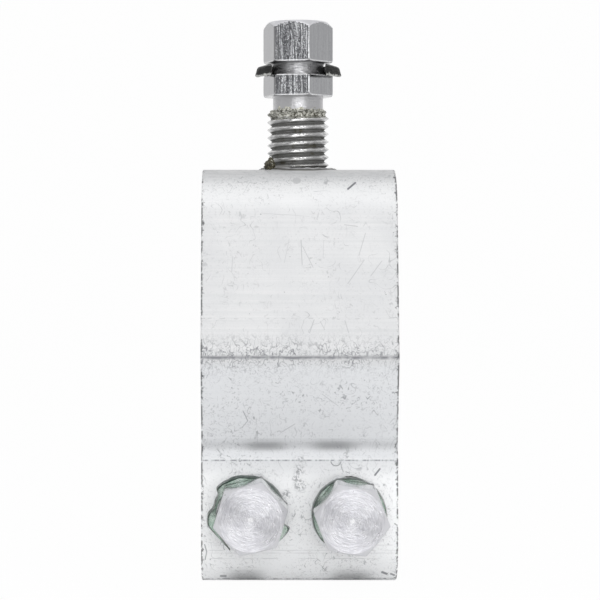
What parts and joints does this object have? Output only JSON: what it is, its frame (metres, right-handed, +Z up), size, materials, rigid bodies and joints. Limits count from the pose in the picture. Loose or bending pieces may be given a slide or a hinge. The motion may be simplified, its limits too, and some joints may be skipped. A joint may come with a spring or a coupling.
{
  "type": "insulation piercing connector",
  "caption": "C-shaped extruded aluminium cable clamp with a shear-head main bolt on top, toothed contact bars and a branch tunnel closed by shear-head bolts from the front.",
  "frame": {"origin": "on the clamp's flat foot, straight below the axis of the main bolt", "axes": "+Z up along the main bolt, +X along both conductors, -Y towards the heads of the branch bolts"},
  "size_m": [0.049, 0.0713, 0.1425],
  "materials": {
    "extruded_aluminium": "scuffed mill finish",
    "plated_steel": "turned, plated",
    "dark_clip_plastic": "glossy",
    "green_clip_plastic": "clear, green tinted",
    "tinned_contact": "tin plated",
    "cast_pad": "plain"
  },
  "bodies": {
    "clamp": {"clamp_body": "extruded_aluminium", "main_contact_bar_front": "tinned_contact", "main_contact_bar_rear": "tinned_contact", "branch_contact_bar": "tinned_contact"},
    "main_pad": {"main_pressure_pad": "cast_pad"},
    "main_bolt": {"main_shear_bolt": "plated_steel", "main_stop_clip": "dark_clip_plastic"},
    "left_pad": {"branch_pressure_pad_left": "cast_pad"},
    "left_bolt": {"branch_shear_bolt_left": "plated_steel", "branch_stop_clip_left": "green_clip_plastic"},
    "right_pad": {"branch_pressure_pad_right": "cast_pad"},
    "right_bolt": {"branch_shear_bolt_right": "plated_steel", "branch_stop_clip_right": "green_clip_plastic"}
  },
  "joints": [
    {"name": "main_bolt_drive", "type": "slide", "parent": "clamp", "child": "main_pad", "axis": [0, 0, -1], "range_m": [-0.0037, 0.018]},
    {"name": "main_bolt_turn", "type": "hinge", "parent": "main_pad", "child": "main_bolt", "pos_m": [0, 0, 0.12], "axis": [0, 0, -1], "range_deg": [-671, 3245]},
    {"name": "left_bolt_drive", "type": "slide", "parent": "clamp", "child": "left_pad", "axis": [0, 1, 0], "range_m": [-0.0147, 0.0007]},
    {"name": "left_bolt_turn", "type": "hinge", "parent": "left_pad", "child": "left_bolt", "pos_m": [-0.0121, 0, 0.0194], "axis": [0, 1, 0], "range_deg": [-2651, 131]},
    {"name": "right_bolt_drive", "type": "slide", "parent": "clamp", "child": "right_pad", "axis": [0, 1, 0], "range_m": [-0.0127, 0.0027]},
    {"name": "right_bolt_turn", "type": "hinge", "parent": "right_pad", "child": "right_bolt", "pos_m": [0.0121, 0, 0.0194], "axis": [0, 1, 0], "range_deg": [-2291, 491]}
  ],
  "couplings": [
    {"joint": "main_bolt_turn", "follows": "main_bolt_drive", "rad_per_m": 3141.6},
    {"joint": "left_bolt_turn", "follows": "left_bolt_drive", "rad_per_m": 3141.6},
    {"joint": "right_bolt_turn", "follows": "right_bolt_drive", "rad_per_m": 3141.6}
  ]
}
